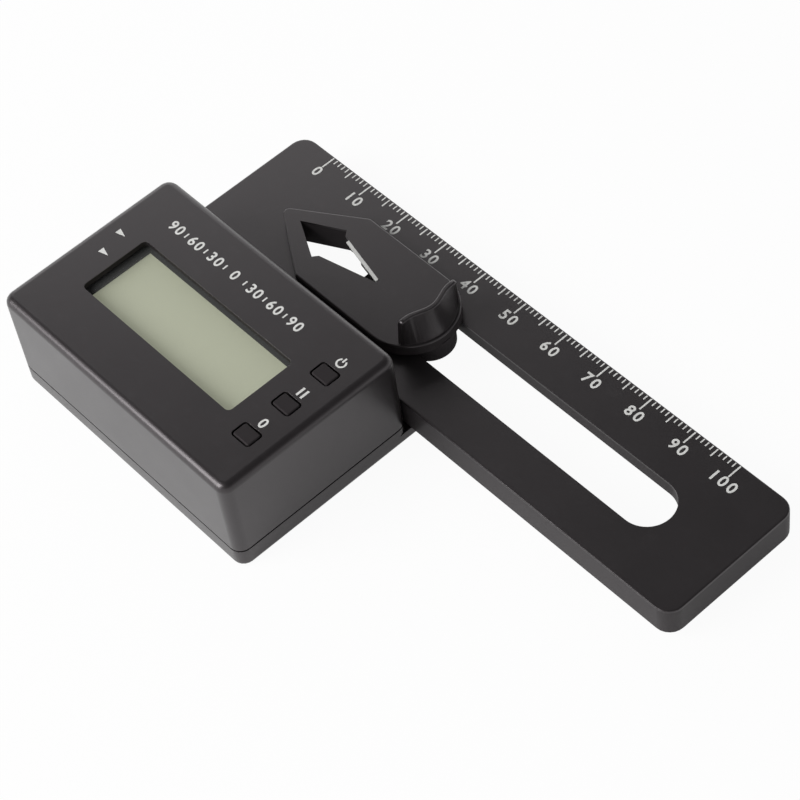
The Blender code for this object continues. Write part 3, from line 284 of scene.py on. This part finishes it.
def black_moulding(name, colour, worn, roughness, grain, matt_below=0.0, matt_coat=0.0, well=None):
    """Satin black plastic: grain of the mould, a slow change of sheen and faint rubbed patches. It
    is matt below a height and in a well, given as the corners of a box, that wasn't polished; the well is
    also painted near-black, painted shade for the shadow inside it."""
    finish = Finish(name, colour, roughness, coat_roughness=COAT_ROUGHNESS, specular_tint=SHEEN_TINT)
    x, y, z = finish.axes()
    polished = z > matt_below
    cloud = finish.noise(CLOUD_SIZE, 3)
    rubbed = finish.noise(RUBBED_SIZE, 4, 0.6).spread(0.55, 0.8)
    tone = finish.mix(rubbed * 0.6 + cloud * 0.3, colour, worn)
    if well:
        low, high = well
        inside = (x > low.x) * (x < high.x) * (y > low.y) * (y < high.y) * (z > low.z) * (z < high.z)
        polished = polished * (1 - inside)
        # Painted shade: the well's faces take a near-black tone for the shadow that falls inside the
        # opening.
        tone = finish.mix(inside, tone, PAINTED_WELL_SHADE)
    finish.set("Coat Weight", polished * (COAT - matt_coat) + matt_coat)
    finish.set("Base Color", tone)
    satin = cloud * 0.1 + (roughness - 0.05)
    finish.set("Roughness", satin + (1 - polished) * (MATT_ROUGHNESS - roughness))
    height = finish.noise(grain, 2) + finish.noise(grain * 3, 2) * 0.6
    finish.bump(height, GRAIN_DEPTH, 0.55)
    return finish


def united(piece, addition):
    """Joins a closed form, given as a bmesh, to a piece's mesh for good."""
    helper = new_object("addition", addition, arm_black)
    joining = piece.modifiers.new("joining", "BOOLEAN")
    joining.operation, joining.object, joining.solver = "UNION", helper, "EXACT"
    shape = piece.evaluated_get(bpy.context.evaluated_depsgraph_get())
    mesh = bmesh.new()
    mesh.from_mesh(shape.to_mesh())
    piece.modifiers.clear()
    bpy.data.objects.remove(helper)
    bmesh.ops.remove_doubles(mesh, verts=mesh.verts, dist=MERGE)
    bmesh.ops.dissolve_limit(mesh, angle_limit=PLANAR, verts=mesh.verts, edges=mesh.edges)
    mesh.to_mesh(piece.data)
    mesh.free()


def moulded(node, finish, edge=0.12 * MM, steps=2, addition=None, crease=CREASE):
    """A merged copy of a CAD node, its sharp edges rounded as a mould leaves them, for the node."""
    mesh = bmesh.new()
    mesh.from_mesh(frame["nodes"][node].data)
    bmesh.ops.remove_doubles(mesh, verts=mesh.verts, dist=MERGE)
    bmesh.ops.dissolve_limit(mesh, angle_limit=PLANAR, verts=mesh.verts, edges=mesh.edges)
    piece = new_object(node + "_piece", mesh, finish)
    if addition:
        united(piece, addition)
    piece.data.shade_smooth()
    piece.data.set_sharp_from_angle(angle=crease)
    if edge:
        rounding = piece.modifiers.new("rounding", "BEVEL")
        rounding.width, rounding.segments = edge, steps
        rounding.limit_method, rounding.angle_limit = "ANGLE", crease
        rounding.use_clamp_overlap = True
    weigh = piece.modifiers.new("weigh", "WEIGHTED_NORMAL")
    weigh.keep_sharp = not edge
    body = next(joined for joined, nodes in frame["record"]["behaviour"]["bodies"].items() if node in nodes)
    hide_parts(node)
    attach(piece, body)
    return piece


arm_low, arm_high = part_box("measuring_arm")
arm_black = black_moulding("arm_black", BLACK, BLACK_WORN, 0.38, 0.16 * MM,
                           arm_high.z - ARM_POLISHED, ARM_WALL_COAT)
arm = moulded("measuring_arm", arm_black)


# Scale. Pad-printed white ink on the arm's top: a tick for every millimetre from 0 to 100, longer
# at the fives and tens, and plain numbers at the tens.
INK = (0.80, 0.80, 0.78)
INK_HEIGHT = 0.02 * MM
ZERO_INSET = 8.65 * MM
TICK_FOOT = 0.35 * MM
TICK_LENGTHS = (2.9 * MM, 1.85 * MM, 1.0 * MM)
TICK_WIDTHS = (0.30 * MM, 0.27 * MM, 0.24 * MM)
DIGIT_MIDDLE = 4.45 * MM
DIGIT_HEIGHT = 2.2 * MM
DIGIT_PITCH = 1.95 * MM
DIGIT_WEIGHT = 0.022  # added to the strokes, of the letter's size

zero = Vector((arm_low.x + ZERO_INSET, arm_high.y, arm_high.z))

ink = Finish("white_ink", INK, 0.55)
thin = ink.noise(0.5 * MM, 3, 0.6).spread(0.25, 0.7)
ink.set("Base Color", ink.mix(thin, (0.62, 0.62, 0.60), INK))
ink.bump(ink.noise(0.12 * MM, 2), 0.006 * MM, 0.5)


def slab(mesh, left, right, near, far, low, high):
    """Adds a box to a bmesh."""
    size = Vector((right - left, far - near, high - low))
    middle = Vector(((left + right) / 2, (near + far) / 2, (low + high) / 2))
    verts = bmesh.ops.create_cube(mesh, size=1)["verts"]
    bmesh.ops.scale(mesh, verts=verts, vec=size)
    bmesh.ops.translate(mesh, verts=verts, vec=middle)
    return verts


def lettering(mesh, text, centre, height, pitch, weight=DIGIT_WEIGHT):
    """Adds characters to a bmesh as thin ink, one by one, about a centre on the printed face."""
    for i, character in enumerate(text):
        curve = bpy.data.curves.new("character", "FONT")
        curve.body = character
        curve.offset = weight
        curve.extrude = 1
        helper = bpy.data.objects.new("character", curve)
        shape = bpy.data.meshes.new_from_object(helper)
        bpy.data.objects.remove(helper)
        corners = [v.co for v in shape.vertices]
        low, high = (Vector([f(c[k] for c in corners) for k in range(3)]) for f in (min, max))
        scale = height / (high.y - low.y)
        offset = (i - (len(text) - 1) / 2) * pitch
        move = Matrix.Translation(centre + Vector((offset, 0, 0)))
        size = Matrix.Diagonal((scale, scale, INK_HEIGHT, 1))
        shape.transform(move @ size @ Matrix.Translation(-(low + high) / 2))
        mesh.from_mesh(shape)
        bpy.data.meshes.remove(shape)


ticks = bmesh.new()
for reading in range(101):
    rank = 0 if reading % 10 == 0 else 1 if reading % 5 == 0 else 2
    x, half = zero.x + reading * MM, TICK_WIDTHS[rank] / 2
    foot = zero.y - TICK_FOOT
    slab(ticks, x - half, x + half, foot - TICK_LENGTHS[rank], foot,
         zero.z - INK_HEIGHT, zero.z + INK_HEIGHT)
scale_ticks = new_object("scale_ticks", ticks, ink)

numbers = bmesh.new()
for reading in range(0, 101, 10):
    centre = zero + Vector((reading * MM, -DIGIT_MIDDLE, 0))
    lettering(numbers, str(reading), centre, DIGIT_HEIGHT, DIGIT_PITCH)
bmesh.ops.remove_doubles(numbers, verts=numbers.verts, dist=MERGE)
scale_numbers = new_object("scale_numbers", numbers, ink)
for print_ in (scale_ticks, scale_numbers):
    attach(print_, "gauge")


# Slider. One black moulding: the arrow plate with its window, the neck in the slot and the
# thumb lip. A white line is set along the far side of the arrow's tail.
SLIDER_MATT_BELOW = arm_high.z + 2.1 * MM
SLIDER_CREASE = math.radians(50)
WHITE_LINE_ENDS = (-33.2 * MM, -22.75 * MM)
WHITE_LINE_WIDTH = 0.6 * MM
WHITE_LINE_ROOT = 0.05 * MM  # held in the window's side
WHITE_LINE_LEVELS = (arm_high.z + 2.15 * MM, arm_high.z + 2.45 * MM)
TAIL_SIDE_SLOPE = 0.231  # how the side of the arrow's tail nears the slot's middle along x
TAIL_SIDE_MIDDLE = 12.973 * MM  # where its line meets x = 0

slider_black = black_moulding("slider_black", BLACK, BLACK_WORN, 0.34, 0.14 * MM, SLIDER_MATT_BELOW)
slider = moulded("slider", slider_black, crease=SLIDER_CREASE)
white_line = bmesh.new()
slab(white_line, *WHITE_LINE_ENDS, -WHITE_LINE_WIDTH, WHITE_LINE_ROOT, *WHITE_LINE_LEVELS)
for vert in white_line.verts:
    vert.co.y += TAIL_SIDE_MIDDLE - TAIL_SIDE_SLOPE * vert.co.x
tail_white_line = new_object("tail_white_line", white_line, ink)
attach(tail_white_line, "sliding_jaw")


# Moving jaw and its leaf springs. The jaw is moulded as the arm is; the springs are blanked
# from plated strip and only bear on the underside of the arm's top.
PLATED = (0.62, 0.61, 0.58)

jaw = moulded("moving_jaw", arm_black)


def plated_steel(name, colour, roughness, grain):
    """Plated steel: fine rolling lines along x, with faint stains."""
    finish = Finish(name, colour, roughness, metallic=1.0)
    x, y, z = finish.axes()
    along = finish.node("ShaderNodeCombineXYZ", {}, {0: x * 0.05, 1: y, 2: z})
    lines = finish.noise(grain, 3, 0.6, along)
    stain = finish.noise(3 * MM, 3)
    finish.set("Base Color", finish.mix(stain * 0.35, colour, [c * 0.72 for c in colour]))
    finish.set("Roughness", roughness + lines * 0.16 + stain * 0.06)
    finish.bump(lines, 0.004 * MM, 0.5)
    return finish


spring_plate = plated_steel("spring_plate", PLATED, 0.22, 0.09 * MM)
for side in ("near", "far"):
    moulded("friction_spring_" + side, spring_plate, 0.04 * MM)


# Top shell. The box's walls and top in one moulding, with the display opening and three key holes.
WINDOW_LAP = 1.5 * MM
WELL_REACH = Vector((0.1, 0.1, 0)) * MM  # into the opening's walls
WELL_BELOW = 0.1 * MM

shell_low, shell_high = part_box("top_shell")
pane_low, pane_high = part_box("display_window")
lap = Vector((WINDOW_LAP, WINDOW_LAP, 0)) - WELL_REACH
# The opening's walls below the top form the well; the shell paints them near-black as painted shade for the
# shadow inside the opening.
well = pane_low + lap, Vector((pane_high.x - lap.x, pane_high.y - lap.y, shell_high.z - WELL_BELOW))
shell_black = black_moulding("shell_black", BLACK, BLACK_WORN, 0.38, 0.17 * MM, well=well)
shell = moulded("top_shell", shell_black)


# Printing on the box. Pad-printed white ink: a row of plain tilt numbers with ticks above the
# display, a sign for each key, and two pointers at the display's left end.
TILT_NUMBERS = (90, 60, 30, 0, 30, 60, 90)
TILT_FIRST = 10.7 * MM  # middle of the first number, from the box's left side
TILT_PITCH = 5.2 * MM
TILT_HEIGHT = 2.1 * MM
TILT_SPACING = 0.84  # from digit to digit, of their height
TILT_FROM_FAR = 6.9 * MM
TILT_TICK = 1.1 * MM
SIGN_MIDDLE_X = 5.85 * MM  # from the box's right side
SIGN_FIRST_Y = 7.1 * MM  # from the box's far side
SIGN_RADIUS = 1.0 * MM
SIGN_STROKE = 0.34 * MM
POWER_ARC = (125, 290)  # start and turn of the power sign's ring, in degrees
POINTER_PLACES = ((4.5 * MM, 14.3 * MM), (5.7 * MM, 19.0 * MM))  # from the box's left and far sides
RING_STEPS = 32

key_places = [sum(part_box(key + "_key"), Vector()) / 2 for key in ("power", "hold", "zero")]
power_place = key_places[0]
print_low, print_high = shell_high.z - INK_HEIGHT, shell_high.z + INK_HEIGHT


def bar(mesh, x, y, width, height):
    """Adds a printed bar about a place on the box."""
    slab(mesh, x - width / 2, x + width / 2, y - height / 2, y + height / 2, print_low, print_high)


def plate(mesh, points):
    """Adds a printed patch with the outline given."""
    rows = [[mesh.verts.new((x, y, z)) for x, y in points] for z in (print_low, print_high)]
    mesh.faces.new(rows[0][::-1])
    mesh.faces.new(rows[1])
    for i in range(len(points)):
        mesh.faces.new((rows[0][i - 1], rows[0][i], rows[1][i], rows[1][i - 1]))


def ring(mesh, x, y, radius, stroke, start, turn):
    """Adds a printed part of a ring, from the start angle through the turn, both in degrees."""
    turns = [math.radians(start + turn * i / RING_STEPS) for i in range(RING_STEPS + 1)]
    rims = [[(x + reach * math.cos(a), y + reach * math.sin(a)) for a in turns]
            for reach in (radius, radius - stroke)]
    for i in range(RING_STEPS):
        plate(mesh, [rims[0][i], rims[0][i + 1], rims[1][i + 1], rims[1][i]])


row_y = shell_high.y - TILT_FROM_FAR
printing = bmesh.new()
for i, number in enumerate(TILT_NUMBERS):
    centre = Vector((shell_low.x + TILT_FIRST + i * TILT_PITCH, row_y, shell_high.z))
    lettering(printing, str(number), centre, TILT_HEIGHT, TILT_HEIGHT * TILT_SPACING)
    if i:
        bar(printing, centre.x - TILT_PITCH / 2, row_y, TICK_WIDTHS[0], TILT_TICK)

sign_x = shell_high.x - SIGN_MIDDLE_X
sign_ys = [shell_high.y - SIGN_FIRST_Y + place.y - power_place.y for place in key_places]
ring(printing, sign_x, sign_ys[0], SIGN_RADIUS, SIGN_STROKE, *POWER_ARC)
bar(printing, sign_x, sign_ys[0] + SIGN_RADIUS * 0.75, SIGN_STROKE, SIGN_RADIUS)
for side in (-1, 1):
    bar(printing, sign_x + side * SIGN_RADIUS * 0.5, sign_ys[1], SIGN_STROKE * 1.3, SIGN_RADIUS * 1.9)
lettering(printing, "0", Vector((sign_x, sign_ys[2], shell_high.z)), SIGN_RADIUS * 2, 0)
for from_left, from_far in POINTER_PLACES:
    x, y = shell_low.x + from_left, shell_high.y - from_far
    half = SIGN_RADIUS * 0.6
    plate(printing, [(x - SIGN_RADIUS, y - half), (x + SIGN_RADIUS, y), (x - SIGN_RADIUS, y + half)])
bmesh.ops.remove_doubles(printing, verts=printing.verts, dist=MERGE)
box_printing = new_object("box_printing", printing, ink)
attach(box_printing, "gauge")


# Keys. Three small moulded caps, flush with the box's top, each with a hidden flange.
KEY_EDGE = 0.22 * MM
KEY_TONE = (0.0075, 0.0068, 0.0070)

all_matt = 2 * cad_high.z
key_black = black_moulding("key_black", KEY_TONE, BLACK, 0.5, 0.12 * MM, all_matt)
for key in ("power", "hold", "zero"):
    moulded(key + "_key", key_black, KEY_EDGE, 3)


# Rear cover and battery door. The tray that closes the box, and the sliding door in its back.
FLANGE_HEIGHT = 2.4 * MM
FLANGE_ROOT = 2.25 * MM  # reach of its end into the box's wall
SCREW_CLEAR = 0.5 * MM
COVER_EDGE = 0.9 * MM

cover_low, cover_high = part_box("rear_cover")
end = bmesh.new()
end_left = max(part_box(f"arm_screw_{i}")[1].x for i in (1, 2, 3)) + SCREW_CLEAR
slab(end, end_left, cover_high.x, shell_high.y - FLANGE_ROOT, cover_high.y,
     cover_low.z, cover_low.z + FLANGE_HEIGHT)
outer = [e for e in end.edges if all(v.co.x > cover_high.x - MERGE and v.co.z < cover_low.z + MERGE
                                     for v in e.verts)]
bmesh.ops.bevel(end, geom=outer, offset=COVER_EDGE, segments=3, profile=0.5, affect="EDGES", material=-1)
cover = moulded("rear_cover", shell_black, addition=end)
door = moulded("battery_door", shell_black)


# Display. A grey-green reflective panel below a clear window, in a white holder on the board.
LCD_PAINTED_GLOW = 0.38  # painted glow: the panel gives off light of its own, to even out the shade near its edges
# The tape's laps are wider at the left and far sides, where its black paints the shade that falls from the
# opening's walls.
TAPE_LAPS = (2.3 * MM, 1.5 * MM, 1.5 * MM, 1.7 * MM)  # left, right, near and far side
TAPE_GAP = 0.03 * MM

# Painted light: the reflective panel is given a faint glow of its own, which evens out the shade that the
# opening's walls cast near its edges.
lcd_green = Finish("lcd_green", roughness=0.45, emission_strength=LCD_PAINTED_GLOW)
film = lcd_green.noise(0.35 * MM, 2)
for socket, first, second in (("Base Color", (0.24, 0.25, 0.18), (0.225, 0.235, 0.17)),
                              ("Emission Color", (0.475, 0.495, 0.36), (0.45, 0.47, 0.34))):
    lcd_green.set(socket, lcd_green.mix(film * 0.3, first, second))
lcd_green.bump(film, 0.003 * MM, 0.4)
panel = moulded("lcd_panel", lcd_green, 0.06 * MM)

clear = Finish("clear_window_plastic", (0.9, 0.92, 0.9), 0.06, alpha=0.04)
clear.set("Roughness", clear.noise(6 * MM, 3) * 0.05 + 0.03)
window = moulded("display_window", clear, 0.08 * MM)

# Foam tape under the window's rim, partly painted shade: a real spacer, but its near-black and its wider
# left and far laps stand in for the shade from the opening's walls.
foam_and_shade = Finish("foam_painted_shade", PAINTED_WELL_SHADE, 0.85, specular_ior_level=0.1)
foam_and_shade.bump(foam_and_shade.noise(0.25 * MM, 3), 0.03 * MM, 0.5)
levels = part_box("lcd_panel")[1].z + TAPE_GAP, pane_low.z - TAPE_GAP
left, right = pane_low.x + TAPE_LAPS[0], pane_high.x - TAPE_LAPS[1]
near, far = pane_low.y + TAPE_LAPS[2], pane_high.y - TAPE_LAPS[3]
tape = bmesh.new()
slab(tape, pane_low.x, left, pane_low.y, pane_high.y, *levels)
slab(tape, right, pane_high.x, pane_low.y, pane_high.y, *levels)
slab(tape, left, right, pane_low.y, near, *levels)
slab(tape, left, right, far, pane_high.y, *levels)
spacer_tape_and_shade = new_object("spacer_tape_and_shade", tape, foam_and_shade)
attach(spacer_tape_and_shade, "gauge")

white_moulding = Finish("holder_white", (0.6, 0.6, 0.57), 0.5)
white_moulding.bump(white_moulding.noise(0.3 * MM, 2), 0.01 * MM, 0.4)
moulded("lcd_holder", white_moulding)

layered = Finish("layered_rubber", (0.35, 0.33, 0.35), 0.7)
stripe = (layered.axes()[0] * (2 * math.pi / (0.5 * MM))).wave().spread(-0.3, 0.3)
layered.set("Base Color", layered.mix(stripe, (0.03, 0.03, 0.035), (0.42, 0.40, 0.42)))
moulded("zebra_strip", layered, 0.08 * MM)


# Circuit board. Green lacquered laminate with the tilt sensor, the resin-covered controller and
# the three key switches.
board_green = Finish("board_green", (0.02, 0.12, 0.045), 0.35, coat_weight=0.4)
track = board_green.noise(4 * MM, 0).spread(0.49, 0.5)
board_green.set("Base Color", board_green.mix(track, (0.012, 0.085, 0.03), (0.03, 0.16, 0.06)))
moulded("circuit_board", board_green, 0.08 * MM)

resin = Finish("chip_resin", (0.02, 0.02, 0.021), 0.4)
resin.bump(resin.noise(0.1 * MM, 3), 0.01 * MM, 0.4)
for node in ("tilt_sensor", "controller_chip", "power_switch", "hold_switch", "zero_switch"):
    moulded(node, resin, 0.08 * MM)


# Button cell and its contacts. A 20 mm cell in the well of the rear cover, between a strip that
# touches its can and a tongue that presses on its cap.
cell_steel = plated_steel("cell_can", (0.70, 0.70, 0.69), 0.2, 0.12 * MM)
moulded("button_cell", cell_steel, 0.1 * MM)
for node in ("positive_contact", "negative_contact"):
    moulded(node, spring_plate, 0.05 * MM)


# Screws. Small zinc-plated pan heads with a cross drive: four close the box, three hold the arm
# on the cover's flange, two join jaw and slider, and two hold the board.
screw_steel = plated_steel("screw_zinc", (0.45, 0.45, 0.46), 0.32, 0.08 * MM)
for group, count in (("cover_screw", 4), ("arm_screw", 3), ("jaw_screw", 2), ("board_screw", 2)):
    for i in range(count):
        moulded(f"{group}_{i + 1}", screw_steel, 0.05 * MM)
